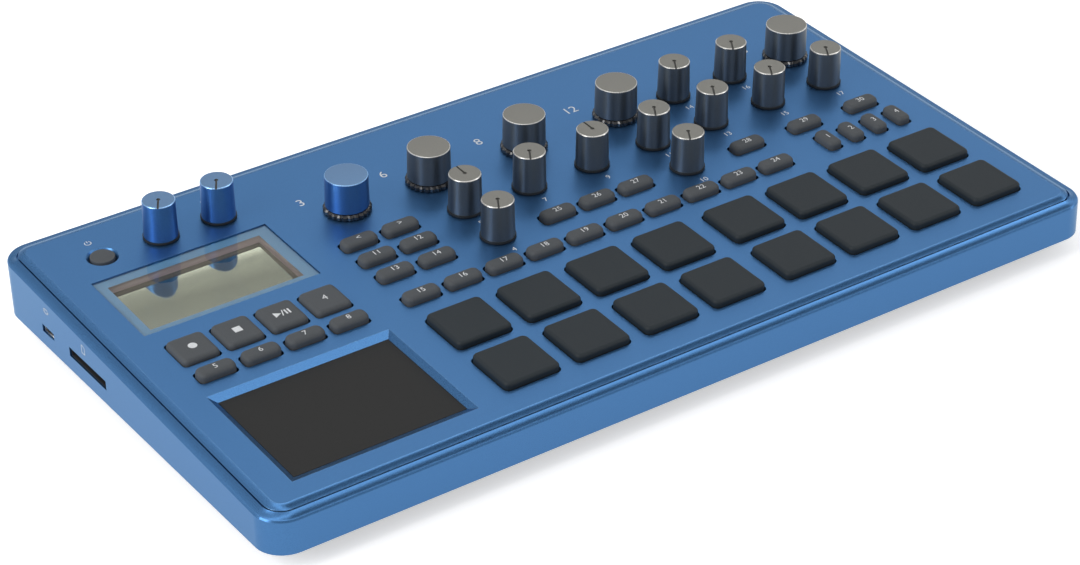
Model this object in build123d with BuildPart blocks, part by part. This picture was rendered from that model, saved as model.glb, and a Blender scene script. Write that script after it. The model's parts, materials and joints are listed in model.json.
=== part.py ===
from build123d import *
from math import atan, cos, radians, sin
import os

os.makedirs("parts", exist_ok=True)

# A battery-powered table-top drum machine. X runs to the right, Y to the back, Z up; the origin is
# on the table under the middle of the case. All sizes are in millimetres.

# ---------------------------------------------------------------- case
case_corner = 10.5
inner_corner = 1.5
front_height = 14.78  # panel surface over the walls' lower edge, at the front
panel_slope = 0.0457  # rise of the panel per millimetre towards the back
wall = 3.2
rim_step = 0.7  # the frame's rim lies this far under the panel surface
rim_fall = 1.57  # and slopes down by this much to the wall
rim_break = 0.45
shoulder_band = 0.02  # edges this close to the rim's lower line are broken
ledge_width = 8.4
ledge_thickness = 3.0

panel_gap = 0.7
panel_thickness = 2.4
panel_edge_width = 2.7
panel_edge_fall = 0.9

foot_height = 2.0
foot_seat = 0.5
foot_radius = 6.0
foot_break = 0.4
foot_inset = 28.0
foot_gap = 0.1
tub_drop = 6.0
tub_inset = 14.0
tub_rear_inset = 8.0
tub_corner = 8.0
tub_edge = 2.0
tub_wall = 2.0
flange_thickness = 2.5
flange_clearance = 0.2
rib_thickness = 1.5
rib_height = 4.0
rib_pitch = 50.0

screw_radius = 1.5
screw_clearance = 0.15
screw_length = 8.0
screw_head_radius = 2.7
screw_head_height = 1.4
screw_head_room = 0.2
screw_tip_gap = 0.3
boss_radius = 4.2
boss_bite = 0.3  # how far a boss runs into the wall
pilot_gap = 0.05
boss_side_inset = 19.5  # from a side wall's outside to the first boss along the front or rear
front_boss_spacing = 100.0
rear_boss_columns = (-75.0, 43.0)
side_boss_inset = 24.5

# ---------------------------------------------------------------- controls
running_gap = 0.05
knob_lift = 0.3  # air under a knob
shaft_radius = 3.0
bushing_radius = 3.6
bushing_rise = 1.6
bushing_hole_gap = 0.15
knob_cavity_gap = 0.5
shaft_reach = 2.2  # how far the shaft goes down into the bushing, under the panel surface

small_knob_height = 15.3
small_knob_top = 5.87
small_knob_bottom = 6.15
small_knob_ring = 6.5
small_ring_height = 0.8
small_knob_break = 0.3
pointer_width = 0.7
pointer_depth = 0.5
pointer_dot = 0.75

large_knob_height = 14.6
large_knob_top = 7.85
large_knob_bottom = 8.0
large_knob_skirt = 8.8
large_skirt_height = 2.2
large_knob_break = 0.35

pot_width = 10.0
pot_depth = 11.0
encoder_size = 12.4
board_drop = 7.6  # panel surface down to the board that carries the pots, encoders and switches
board_thickness = 1.6
panel_board_side_gap = 9.5  # from the case's side to the board
panel_board_front = 7.5  # how far the board runs past the front row of keys
panel_board_rear = 9.0  # and past the rear row of large knobs
board_tab_width = 64.0
board_tab_rear = 9.5
board_tab_bite = 2.0
pad_board_side = 5.2  # how far the pad board runs past the pads
pad_board_front = 4.1
pad_board_rear = 3.2
post_radius = 1.8
post_side_inset = 14.8
window_post_gap = 6.4
pad_post_radius = 1.5

pad_columns_count = 8
pad_hole = 22.6
pad_web = 5.75
pad_row_web = 5.55
pad_middle_extra = 2.55  # wider web between the two halves of a row
pad_gap = 0.4
pad_corner = 2.0
pad_rise = 2.6
pad_edge = 1.1
pad_travel = 1.0
pad_board_gap = 0.15

key_gap = 0.35
key_corner = 1.25
key_rise = 2.8
key_edge = 1.0
key_travel = 0.8
key_switch_gap = 0.1
switch_size = 6.0
flange_lip = 1.0
key_flange_thickness = 0.8
pad_flange_thickness = 1.0
under_panel_gap = 0.2
transport_rise = 2.0
transport_edge = 0.9

key_web = 2.3  # panel left between two keys of a row
key_depth = 7.1
step_count = 10
number_key = (6.6, 12.1)
number_pitch = 10.87
transport_depth = 15.4

power_radius = 4.45
power_hole_gap = 0.3
power_dish = 1.05
power_rise = 0.4

# ---------------------------------------------------------------- display and touch pad
window_size = (68.4, 38.5)
window_gap = 0.1
window_thickness = 1.4
window_sink = 0.3
screen_opening = (60.0, 31.4)
screen_shift = (-0.45, -0.55)  # the screen sits this far off the window's centre
screen_glass_rise = 0.5
screen_glass_gap = 0.3
module_size = (66.0, 37.0)

touch_surface = (64.8, 48.2)
touch_bevel = (2.3, 3.2)
touch_depth = 1.4
touch_gap = 0.15
touch_plate = (70.0, 53.0)
touch_plate_thickness = 2.0

# ---------------------------------------------------------------- batteries, boards and sockets
cell_radius = 7.1
cell_length = 50.2
cell_nub_radius = 2.7
cell_nub_length = 1.2
cell_count = 6
cell_pitch = 14.6
cell_side_gap = 0.4
contact_thickness = 0.8
contact_size = 8.0
contact_gap = 0.3
bay_shift = 12.0  # from the case's middle to the left
bay_rear_wall_gap = 2.0
bay_wall = 1.5
bay_ceiling = 1.0
bay_top_gap = 0.3
cover_thickness = 1.2
cover_lip = 2.0
cover_gap = 0.2
grip_inset = 3.0
grip_size = (12.0, 4.0)
grip_depth = 0.6
cell_floor_gap = 0.2

main_board_top = 13.3
main_board_depth = 106.0
main_board_side_gap = 0.8
main_board_bay_gap = 4.8
main_board_rear = 15.5  # from the outside of the rear wall
jack_board_depth = 26.0
jack_board_side = 12.5
jack_board_rear = 6.5
jack_board_margin = 0.2
stand_radius = 3.0
stand_inset = 7.0
stand_wall_inset = 17.5  # clear of the card socket

usb_inset = 36.8  # from the outside of the rear wall
usb_slot = (8.8, 2.9)
usb_body = (7.5, 2.6, 5.6)
card_inset = 66.45
card_slot = (26.7, 3.6)
card_body = (25.8, 3.2, 26.0)
card_lift = 0.4
usb_tongue = (4.0, 0.7)
socket_skin = 0.35
socket_recess = 0.6

line_jack_pitch = 16.0
line_jack_gap = 15.0  # from the last small jack's axis to the first large one's
line_jack_body = (13.6, 11.0, 22.0)
line_jack_nose = 4.6
line_jack_bore = 3.2
line_jack_reach = 16.0
mini_jack_inset = 27.5  # from the case's right side
mini_jack_pitch = 11.0
mini_jack_count = 6
mini_jack_body = (8.0, 6.4, 12.0)
mini_jack_nose = 3.0
mini_jack_bore = 1.8
mini_jack_reach = 11.0
inlet_inset = 17.5
inlet_body = (9.4, 10.6, 12.0)
inlet_nose = 4.0
inlet_bore = 2.8
inlet_pin = 1.0
inlet_reach = 9.0
nose_gap = 0.2
nose_sink = 0.2

# ---------------------------------------------------------------- layout: margins and gaps between the fields
touch_side_margin = 16.8  # from the case's left side to the touch pad's bevel
touch_front_margin = 14.6
touch_pad_web = 12.03  # between the touch pad's bevel and the pads
pads_side_margin = 17.17
pads_front_margin = 16.57
touch_key_gap = 6.75  # touch pad to its keys
transport_gap = 4.3
window_front_gap = 8.65
rear_row_gap = 13.1  # window to the axes of the rear row
rear_row_margin = 26.0  # those axes to the rear
window_shift = -0.6  # window to the touch pad's middle
left_keys_width = 65.46
steps_side_margin = 73.55  # last step key to the case's right side
numbers_side_margin = 18.5
key_row_pitch = 11.9
menu_row_rise = 16.6  # first row of keys to the next one up
number_row_rise = 2.4
low_knob_rise = 0.8  # that row to the lowest knobs
middle_knob_rise = 20.9
top_knob_rise = 23.7
knob_field_inset = 50.27  # left edge of the pads to the first column of knobs
knob_side_margin = 27.5
knob_right_pitch = 26.8
rear_row_inset = 27.9  # from the case's left side to the power button
rear_row_pitch = 23.0

# ---------------------------------------------------------------- places worked out from these
touch_outer = (touch_surface[0] + 2 * touch_bevel[0], touch_surface[1] + 2 * touch_bevel[1])
pad_pitch = pad_hole + pad_web
pad_row_pitch = pad_hole + pad_row_web
pads_width = pad_columns_count * pad_pitch - pad_web + pad_middle_extra
case_width = touch_side_margin + touch_outer[0] + touch_pad_web + pads_width + pads_side_margin
case_depth = (
    touch_front_margin + touch_outer[1] + touch_key_gap + key_depth + transport_gap
    + transport_depth + window_front_gap + window_size[1] + rear_row_gap + rear_row_margin
)
left_side = -case_width / 2
right_side = case_width / 2
front_side = -case_depth / 2
rear_side = case_depth / 2

tilt = atan(panel_slope)
panel_up = (0, -sin(tilt), cos(tilt))
slope_depth = case_depth / cos(tilt)
wall_foot = foot_height - foot_seat + tub_drop
tub_floor = foot_height - foot_seat
panel_middle = wall_foot + front_height + panel_slope * case_depth / 2
panel = Plane(origin=(0, 0, panel_middle), x_dir=(1, 0, 0), z_dir=panel_up)
panel_axis = Axis((0, 0, 0), panel_up)
through = 2 * panel_middle
flange_top = wall_foot + flange_thickness
flange_depth = panel_thickness + under_panel_gap
key_flange_bottom = flange_depth + key_flange_thickness
pad_flange_bottom = flange_depth + pad_flange_thickness
switch_top = key_flange_bottom + key_travel + key_switch_gap
pad_board_drop = pad_flange_bottom + pad_travel + pad_board_gap
boss_inset = wall + boss_radius - boss_bite
left_wall = Plane(origin=(left_side, 0, 0), x_dir=(0, -1, 0), z_dir=(-1, 0, 0))
rear_wall = Plane(origin=(0, rear_side, 0), x_dir=(-1, 0, 0), z_dir=(0, 1, 0))


def mean(a, b):
    """The number half way between two."""
    return (a + b) / 2


touch_centre = (
    left_side + touch_side_margin + touch_outer[0] / 2,
    front_side + touch_front_margin + touch_outer[1] / 2,
)
key_row = touch_centre[1] + touch_outer[1] / 2 + touch_key_gap + key_depth / 2
transport_row = key_row + key_depth / 2 + transport_gap + transport_depth / 2
window_centre = (
    touch_centre[0] + window_shift,
    transport_row + transport_depth / 2 + window_front_gap + window_size[1] / 2,
)
screen_centre = (window_centre[0] + screen_shift[0], window_centre[1] + screen_shift[1])
rear_row = window_centre[1] + window_size[1] / 2 + rear_row_gap
power_spot = (left_side + rear_row_inset, rear_row)

pads_left = touch_centre[0] + touch_outer[0] / 2 + touch_pad_web
pads_front = front_side + pads_front_margin
pads_rear = pads_front + pad_row_pitch + pad_hole
pad_columns = [
    pads_left + pad_hole / 2 + pad_pitch * i + (pad_middle_extra if i >= pad_columns_count / 2 else 0)
    for i in range(pad_columns_count)
]
pad_rows = (pads_front + pad_hole / 2, pads_rear - pad_hole / 2)
pad_spots = [(x, y) for y in pad_rows for x in pad_columns]

step_pitch = (right_side - steps_side_margin - pads_left + key_web) / step_count
step_columns = [pads_left + (step_pitch - key_web) / 2 + step_pitch * i for i in range(step_count)]
pill_key = (step_pitch - key_web, key_depth)
left_pitch = (left_keys_width + key_web) / 4
left_columns = [touch_centre[0] + left_pitch * i for i in (-1.5, -0.5, 0.5, 1.5)]
left_key_width = left_pitch - key_web
menu_row = key_row + menu_row_rise
number_columns = [
    right_side - numbers_side_margin - number_key[0] / 2 - number_pitch * i for i in (3, 2, 1, 0)
]

low = menu_row + low_knob_rise
middle = low + middle_knob_rise
top = middle + top_knob_rise
right_knobs = [right_side - knob_side_margin - knob_right_pitch * i for i in (3, 2, 1, 0)]
first_knobs = pads_left + knob_field_inset
middle_pitch = (right_knobs[0] - first_knobs) / 3
knob_columns = [first_knobs, first_knobs + middle_pitch, first_knobs + 2 * middle_pitch, *right_knobs]

step_spots = [(x, key_row) for x in step_columns]
menu_spots = [(x, menu_row + key_row_pitch * i) for i in (2, 1, 0) for x in step_columns[:2]]
filter_spots = [(x, menu_row) for x in step_columns[4:7]]
effect_spots = [(x, menu_row) for x in knob_columns[4:]]
number_spots = [(x, key_row + number_row_rise) for x in number_columns]
touch_key_spots = [(x, key_row) for x in left_columns]
transport_spots = [(x, transport_row) for x in left_columns]

# name: (places, hole in the panel, rise over it, broken edge)
key_groups = {
    "transport_keys": (transport_spots, (left_key_width, transport_depth), transport_rise, transport_edge),
    "touch_keys": (touch_key_spots, (left_key_width, key_depth), key_rise, key_edge),
    "menu_keys": (menu_spots, pill_key, key_rise, key_edge),
    "step_keys": (step_spots, pill_key, key_rise, key_edge),
    "filter_keys": (filter_spots, pill_key, key_rise, key_edge),
    "effect_keys": (effect_spots, pill_key, key_rise, key_edge),
    "number_keys": (number_spots, number_key, key_rise, key_edge),
}
key_holes = [(spots, hole) for spots, hole, _, _ in key_groups.values()]
pad_post_spots = [(mean(pad_columns[i], pad_columns[i + 1]), mean(*pad_rows)) for i in (0, 3, 6)]

large_knobs = {
    "selection_knob": (mean(*step_columns[:2]), top),
    "oscillator_knob": (knob_columns[0], top),
    "filter_knob": (mean(*knob_columns[1:3]), top),
    "modulation_knob": (knob_columns[3], top),
    "effect_knob": (knob_columns[6], top),
}
# name: (place, direction of the pointer in degrees, anticlockwise from +X)
resting_left = 240
straight_up = 90
small_knobs = {
    "volume_knob": ((power_spot[0] + rear_row_pitch, rear_row), resting_left),
    "input_knob": ((power_spot[0] + 2 * rear_row_pitch, rear_row), resting_left),
    "pitch_knob": ((knob_columns[0], middle), straight_up),
    "glide_knob": ((knob_columns[0], low), resting_left),
    "cutoff_knob": ((knob_columns[1], middle), resting_left),
    "sweep_knob": ((knob_columns[2], middle), straight_up),
    "depth_knob": ((knob_columns[3], middle), resting_left),
    "speed_knob": ((knob_columns[3], low), resting_left),
    "attack_knob": ((knob_columns[4], top), resting_left),
    "decay_knob": ((knob_columns[4], middle), resting_left),
    "level_knob": ((knob_columns[5], top), resting_left),
    "pan_knob": ((knob_columns[5], middle), resting_left),
    "amount_knob": ((knob_columns[6], middle), resting_left),
}
pot_spots = [spot for spot, _ in small_knobs.values()]
encoder_spots = list(large_knobs.values())

# posts between the fields, as (x, y) on the panel
post_spots = [
    (window_centre[0] + window_size[0] / 2 + window_post_gap, window_centre[1]),
    (mean(large_knobs["oscillator_knob"][0], large_knobs["filter_knob"][0]), mean(middle, top)),
    (mean(*knob_columns[4:6]), mean(middle, top)),
    (right_side - post_side_inset, mean(menu_row, middle)),
    (left_side + post_side_inset, mean(key_row, transport_row)),
    (mean(left_columns[3], step_columns[0]), key_row),
    (mean(*step_columns[6:8]), mean(key_row, menu_row)),
    (mean(small_knobs["volume_knob"][0][0], small_knobs["input_knob"][0][0]), rear_row),
]
panel_board_edges = (key_row - panel_board_front, top + panel_board_rear)
panel_board_width = case_width - 2 * panel_board_side_gap
board_tab_edges = (panel_board_edges[1] - board_tab_bite, rear_row + board_tab_rear)
pad_board_width = pads_width + 2 * pad_board_side
pad_board_edges = (pads_front - pad_board_front, pads_rear + pad_board_rear)

boss_x = case_width / 2 - boss_inset
boss_y = case_depth / 2 - boss_inset
outer_boss = case_width / 2 - boss_side_inset
front_bosses = (-outer_boss, -front_boss_spacing / 2, front_boss_spacing / 2, outer_boss)
boss_spots = (
    [(x, -boss_y) for x in front_bosses]
    + [(x, boss_y) for x in (-outer_boss, *rear_boss_columns)]
    + [(boss_x, rear_side - side_boss_inset)]
)

tub_size = (case_width - 2 * tub_inset, case_depth - tub_inset - tub_rear_inset)
tub_middle = (0, (tub_inset - tub_rear_inset) / 2)
tub_rear = case_depth / 2 - tub_rear_inset - tub_wall
foot_x = case_width / 2 - foot_inset
foot_y = case_depth / 2 - foot_inset
foot_spots = [(x, y) for x in (-foot_x, foot_x) for y in (-foot_y, foot_y)]

rib_length = tub_size[1] / 2 - tub_wall
rib_front = tub_middle[1] - tub_size[1] / 2 + tub_wall
rib_middle = rib_front + rib_length / 2
rib_spots = [(rib_pitch * i, rib_middle) for i in (-2, -1, 0, 1, 2)]

bay_size = (
    cell_count * cell_pitch + 2 * cell_side_gap,
    cell_length + 2 * (contact_thickness + contact_gap),
)
bay_middle = (-bay_shift, tub_rear - bay_rear_wall_gap - bay_wall - bay_size[1] / 2)
cell_axis = tub_floor + cover_thickness + cell_floor_gap + cell_radius
bay_top = cell_axis + cell_radius + bay_top_gap

line_jack_axis = main_board_top + line_jack_body[1] / 2
mini_jack_axis = main_board_top + mini_jack_body[1] / 2
inlet_axis = main_board_top + inlet_body[1] / 2
inlet_x = right_side - inlet_inset
mini_jack_columns = [right_side - mini_jack_inset - mini_jack_pitch * i for i in range(mini_jack_count)]
first_line_jack = mini_jack_columns[-1] - line_jack_gap
line_jack_columns = (first_line_jack, first_line_jack - line_jack_pitch)
usb_y = rear_side - usb_inset
card_y = rear_side - card_inset
usb_axis = main_board_top + usb_body[1] / 2
card_axis = main_board_top + card_lift + card_body[1] / 2

# the boards' edges, as (left, right) and (front, rear)
bay_left = bay_middle[0] - bay_size[0] / 2 - bay_wall
main_board_x = (left_side + wall + main_board_side_gap, bay_left - main_board_bay_gap)
main_board_y = (rear_side - main_board_rear - main_board_depth, rear_side - main_board_rear)
jack_board_left = line_jack_columns[1] - line_jack_body[0] / 2 - jack_board_margin
jack_board_x = (jack_board_left, right_side - jack_board_side)
jack_board_y = (rear_side - jack_board_rear - jack_board_depth, rear_side - jack_board_rear)
stand_spots = [
    (x, y)
    for x in (main_board_x[0] + stand_wall_inset, main_board_x[1] - stand_inset)
    for y in (main_board_y[0] + stand_inset, main_board_y[1] - stand_inset)
]
jack_stands = (jack_board_x[0] + stand_inset, jack_board_x[1] - stand_inset)
stand_spots += [(x, jack_board_y[0] + stand_inset) for x in jack_stands]


def level(depth):
    """A plane parallel to the panel, this far under it, whose middle is straight under the panel's."""
    return Plane(origin=(0, 0, panel_middle - depth / cos(tilt)), x_dir=(1, 0, 0), z_dir=panel_up)


def inset_outline(inset, depth=case_depth):
    """The case's outline, drawn this far inside its walls, in the open sketch."""
    corner = max(case_corner - inset, inner_corner)
    RectangleRounded(case_width - 2 * inset, depth - 2 * inset, corner)


def height_over(shape, depth):
    """How high a shape's centre is over the level plane at this depth."""
    return level(depth).to_local_coords(shape.center()).Z


def at_spot(spot, turn):
    """A plane on the panel at one control, turned about the panel's normal."""
    along = panel.x_dir * cos(radians(turn)) + panel.y_dir * sin(radians(turn))
    return Plane(origin=panel.from_local_coords((*spot, 0)), x_dir=along, z_dir=panel.z_dir)


def keep(piece, name):
    """Label a finished piece and write its STEP file."""
    piece.part.label = name
    export_step(piece.part, f"parts/{name}.step")


# ---------------------------------------------------------------- painted frame round the panel
with BuildPart() as case_frame:
    with BuildSketch(Plane.XY.offset(wall_foot)):
        inset_outline(0)
    extrude(amount=through)
    split(bisect_by=level(rim_step), keep=Keep.BOTTOM)
    rim = case_frame.faces().sort_by(panel_axis)[-1]
    chamfer(rim.edges(), wall, rim_fall, reference=rim)
    shoulder_edges = [
        edge for edge in case_frame.edges() if abs(height_over(edge, rim_step + rim_fall)) < shoulder_band
    ]
    chamfer(shoulder_edges, rim_break)
    # hollow under the ledge, all but the screw bosses, and room for the tub's flange below them
    with BuildSketch(level(panel_thickness + ledge_thickness)):
        inset_outline(wall, slope_depth)
        with Locations(*boss_spots):
            Circle(boss_radius, mode=Mode.SUBTRACT)
    extrude(amount=through, dir=(0, 0, -1), mode=Mode.SUBTRACT)
    with BuildSketch(Plane.XY.offset(flange_top)):
        inset_outline(wall)
    extrude(amount=-through, mode=Mode.SUBTRACT)
    # pocket for the panel and the opening inside the ledge
    with BuildSketch(level(panel_thickness)):
        inset_outline(wall, slope_depth)
    extrude(amount=panel_thickness, mode=Mode.SUBTRACT)
    with BuildSketch(level(panel_thickness)):
        inset_outline(wall + ledge_width, slope_depth)
    extrude(amount=through, dir=(0, 0, -1), mode=Mode.SUBTRACT)
    with BuildSketch(Plane.XY.offset(flange_top)):
        with Locations(*boss_spots):
            Circle(screw_radius + pilot_gap)
    extrude(amount=screw_length - flange_thickness, mode=Mode.SUBTRACT)
    with BuildSketch(left_wall):
        with Locations((-usb_y, usb_axis)):
            Rectangle(*usb_slot)
        with Locations((-card_y, card_axis)):
            Rectangle(*card_slot)
    extrude(amount=-wall, mode=Mode.SUBTRACT)
    with BuildSketch(rear_wall):
        with Locations(*[(-x, line_jack_axis) for x in line_jack_columns]):
            Circle(line_jack_nose + nose_gap)
        with Locations(*[(-x, mini_jack_axis) for x in mini_jack_columns]):
            Circle(mini_jack_nose + nose_gap)
        with Locations((-inlet_x, inlet_axis)):
            Circle(inlet_nose + nose_gap)
    extrude(amount=-wall, mode=Mode.SUBTRACT)
keep(case_frame, "case_frame")

# ---------------------------------------------------------------- painted panel
with BuildPart() as top_panel:
    with BuildSketch(level(panel_thickness)):
        inset_outline(wall + panel_gap, slope_depth)
    extrude(amount=panel_thickness)
    surface = top_panel.faces().sort_by(panel_axis)[-1]
    chamfer(surface.edges(), panel_edge_width, panel_edge_fall, reference=surface)
    # display: a pocket for the window, and the screen's opening inside it
    with BuildSketch(panel):
        with Locations(window_centre):
            Rectangle(*window_size)
    extrude(amount=-window_sink - window_thickness, mode=Mode.SUBTRACT)
    with BuildSketch(panel):
        with Locations(screen_centre):
            Rectangle(*screen_opening)
    extrude(amount=-panel_thickness, mode=Mode.SUBTRACT)
    # touch pad: a bevelled opening
    with BuildSketch(panel):
        with Locations(touch_centre):
            Rectangle(*touch_outer)
    with BuildSketch(panel.offset(-touch_depth)):
        with Locations(touch_centre):
            Rectangle(*touch_surface)
    loft(mode=Mode.SUBTRACT)
    with BuildSketch(panel.offset(-touch_depth)):
        with Locations(touch_centre):
            Rectangle(*touch_surface)
    extrude(amount=-panel_thickness, mode=Mode.SUBTRACT)
    # power button: a dish round its hole
    with BuildSketch(panel):
        with Locations(power_spot):
            Circle(power_radius + power_hole_gap + power_dish)
    with BuildSketch(panel.offset(-power_dish)):
        with Locations(power_spot):
            Circle(power_radius + power_hole_gap)
    loft(mode=Mode.SUBTRACT)
    with BuildSketch(panel):
        with Locations(power_spot):
            Circle(power_radius + power_hole_gap)
        with Locations(*pot_spots, *encoder_spots):
            Circle(bushing_radius + bushing_hole_gap)
        with Locations(*pad_spots):
            RectangleRounded(pad_hole, pad_hole, pad_corner + pad_gap)
        for spots, size in key_holes:
            with Locations(*spots):
                RectangleRounded(*size, key_corner + key_gap)
    extrude(amount=-panel_thickness, mode=Mode.SUBTRACT)
    # posts that carry the two boards
    with BuildSketch(panel.offset(-panel_thickness)):
        with Locations(*post_spots):
            Circle(post_radius)
    extrude(amount=panel_thickness - board_drop)
    with BuildSketch(panel.offset(-panel_thickness)):
        with Locations(*pad_post_spots):
            Circle(pad_post_radius)
    extrude(amount=panel_thickness - pad_board_drop)
keep(top_panel, "top_panel")

# ---------------------------------------------------------------- black moulded tub
with BuildPart() as bottom_case:
    with BuildSketch(Plane.XY.offset(wall_foot)):
        inset_outline(wall + flange_clearance)
    extrude(amount=flange_thickness)
    with BuildSketch(Plane.XY.offset(tub_floor)):
        with Locations(tub_middle):
            RectangleRounded(*tub_size, tub_corner)
    extrude(amount=tub_drop)
    chamfer(bottom_case.faces().sort_by(Axis.Z)[0].edges(), tub_edge)
    with BuildSketch(Plane.XY.offset(tub_floor + tub_wall)):
        with Locations(tub_middle):
            RectangleRounded(tub_size[0] - 2 * tub_wall, tub_size[1] - 2 * tub_wall, tub_corner - tub_wall)
    extrude(amount=through, mode=Mode.SUBTRACT)
    # battery bay, open below
    with BuildSketch(Plane.XY.offset(tub_floor + tub_wall)):
        with Locations(bay_middle):
            Rectangle(bay_size[0] + 2 * bay_wall, bay_size[1] + 2 * bay_wall)
    extrude(amount=bay_top + bay_ceiling - tub_floor - tub_wall)
    with BuildSketch(Plane.XY.offset(tub_floor)):
        with Locations(bay_middle):
            Rectangle(*bay_size)
    extrude(amount=bay_top - tub_floor, mode=Mode.SUBTRACT)
    with BuildSketch(Plane.XY.offset(tub_floor)):
        with Locations(bay_middle):
            Rectangle(bay_size[0] + 2 * cover_lip, bay_size[1] + 2 * cover_lip)
    extrude(amount=cover_thickness, mode=Mode.SUBTRACT)
    # stands for the boards, and ribs across the floor in front of the bay
    with BuildSketch(Plane.XY.offset(tub_floor + tub_wall)):
        with Locations(*stand_spots):
            Circle(stand_radius)
    extrude(amount=main_board_top - board_thickness - tub_floor - tub_wall)
    with BuildSketch(Plane.XY.offset(tub_floor + tub_wall)):
        with Locations(*rib_spots):
            Rectangle(rib_thickness, rib_length)
        with Locations((0, rib_middle)):
            Rectangle(tub_size[0] - 2 * tub_wall, rib_thickness)
    extrude(amount=rib_height)
    with BuildSketch(Plane.XY.offset(tub_floor)):
        with Locations(*foot_spots):
            Circle(foot_radius + foot_gap)
    extrude(amount=foot_seat, mode=Mode.SUBTRACT)
    # screw holes in the flange, with room for the heads
    with BuildSketch(Plane.XY.offset(wall_foot)):
        with Locations(*boss_spots):
            Circle(screw_radius + screw_clearance)
    extrude(amount=flange_thickness, mode=Mode.SUBTRACT)
    with BuildSketch(Plane.XY.offset(wall_foot)):
        with Locations(*boss_spots):
            Circle(screw_head_radius + screw_head_room)
    extrude(amount=screw_head_height, mode=Mode.SUBTRACT)
keep(bottom_case, "bottom_case")

with BuildPart() as battery_cover:
    with BuildSketch(Plane.XY.offset(tub_floor)):
        with Locations(bay_middle):
            Rectangle(
                bay_size[0] + 2 * (cover_lip - cover_gap), bay_size[1] + 2 * (cover_lip - cover_gap)
            )
    extrude(amount=cover_thickness)
    with BuildSketch(Plane.XY.offset(tub_floor)):
        with Locations((bay_middle[0], bay_middle[1] - bay_size[1] / 2 + grip_inset)):
            Rectangle(*grip_size)
    extrude(amount=grip_depth, mode=Mode.SUBTRACT)
keep(battery_cover, "battery_cover")

with BuildPart() as rubber_feet:
    with BuildSketch():
        with Locations(*foot_spots):
            Circle(foot_radius)
    extrude(amount=foot_height)
    chamfer(rubber_feet.faces().group_by(Axis.Z)[0].edges(), foot_break)
keep(rubber_feet, "rubber_feet")

with BuildPart() as case_screws:
    with BuildSketch(Plane.XY.offset(wall_foot)):
        with Locations(*boss_spots):
            Circle(screw_head_radius)
    extrude(amount=screw_head_height)
    with BuildSketch(Plane.XY.offset(wall_foot + screw_head_height)):
        with Locations(*boss_spots):
            Circle(screw_radius)
    extrude(amount=screw_length - screw_head_height - screw_tip_gap)
keep(case_screws, "case_screws")

# ---------------------------------------------------------------- display and touch pad
with BuildPart() as display_window:
    with BuildSketch(panel.offset(-window_sink - window_thickness)):
        with Locations(window_centre):
            Rectangle(window_size[0] - 2 * window_gap, window_size[1] - 2 * window_gap)
    extrude(amount=window_thickness)
keep(display_window, "display_window")

with BuildPart() as display_module:
    with BuildSketch(panel.offset(-board_drop)):
        with Locations(screen_centre):
            Rectangle(*module_size)
    extrude(amount=board_drop - panel_thickness)
    with BuildSketch(panel.offset(-panel_thickness)):
        with Locations(screen_centre):
            Rectangle(screen_opening[0] - 2 * screen_glass_gap, screen_opening[1] - 2 * screen_glass_gap)
    extrude(amount=screen_glass_rise)
keep(display_module, "display_module")

with BuildPart() as touch_pad:
    with BuildSketch(panel.offset(-panel_thickness)):
        with Locations(touch_centre):
            Rectangle(touch_surface[0] - 2 * touch_gap, touch_surface[1] - 2 * touch_gap)
    extrude(amount=panel_thickness - touch_depth)
    with BuildSketch(panel.offset(-panel_thickness)):
        with Locations(touch_centre):
            Rectangle(*touch_plate)
    extrude(amount=-touch_plate_thickness)
keep(touch_pad, "touch_pad")


# ---------------------------------------------------------------- knobs, each with its shaft
def knob(name, spot, radii, height, skirt_height, edge_break, pointer=None):
    """A knob on its shaft. radii are those of the skirt, of the body above it and of the top."""
    skirt, bottom, crown = radii
    place = at_spot(spot, 0 if pointer is None else pointer)
    cavity_top = bushing_rise + knob_cavity_gap
    with BuildPart() as piece:
        with BuildSketch(place.offset(knob_lift + skirt_height)):
            Circle(bottom)
        with BuildSketch(place.offset(height)):
            Circle(crown)
        loft()
        chamfer(piece.edges().sort_by(panel_axis)[-1], edge_break)
        with BuildSketch(place.offset(knob_lift)):
            Circle(skirt)
        extrude(amount=skirt_height)
        with BuildSketch(place.offset(knob_lift)):
            Circle(bushing_radius + knob_cavity_gap)
        extrude(amount=cavity_top - knob_lift, mode=Mode.SUBTRACT)
        with BuildSketch(place.offset(cavity_top)):
            Circle(shaft_radius - running_gap)
        extrude(amount=-cavity_top - shaft_reach)
        if pointer is not None:
            with BuildSketch(place.offset(height)):
                with Locations((crown / 2, 0)):
                    Rectangle(crown, pointer_width)
                Circle(pointer_dot)
            extrude(amount=-pointer_depth, mode=Mode.SUBTRACT)
    keep(piece, name)


small_radii = (small_knob_ring, small_knob_bottom, small_knob_top)
for name, (spot, pointer) in small_knobs.items():
    knob(name, spot, small_radii, small_knob_height, small_ring_height, small_knob_break, pointer)
large_radii = (large_knob_skirt, large_knob_bottom, large_knob_top)
for name, spot in large_knobs.items():
    knob(name, spot, large_radii, large_knob_height, large_skirt_height, large_knob_break)


# ---------------------------------------------------------------- pads, keys and power button
def caps(name, spots, size, rise, edge, corner, lip_thickness):
    """Rubber caps that stand through the panel, each with a flange that holds it in from below."""
    width, depth = size
    lip_bottom = flange_depth + lip_thickness
    with BuildPart() as piece:
        with BuildSketch(panel.offset(-flange_depth)):
            with Locations(*spots):
                RectangleRounded(width, depth, corner)
        extrude(amount=flange_depth + rise)
        crowns = piece.faces().group_by(panel_axis)[-1]
        chamfer(crowns.edges(), edge)
        with BuildSketch(panel.offset(-lip_bottom)):
            with Locations(*spots):
                Rectangle(width + 2 * (flange_lip + key_gap), depth + 2 * (flange_lip + key_gap))
        extrude(amount=lip_thickness)
    keep(piece, name)


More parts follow.
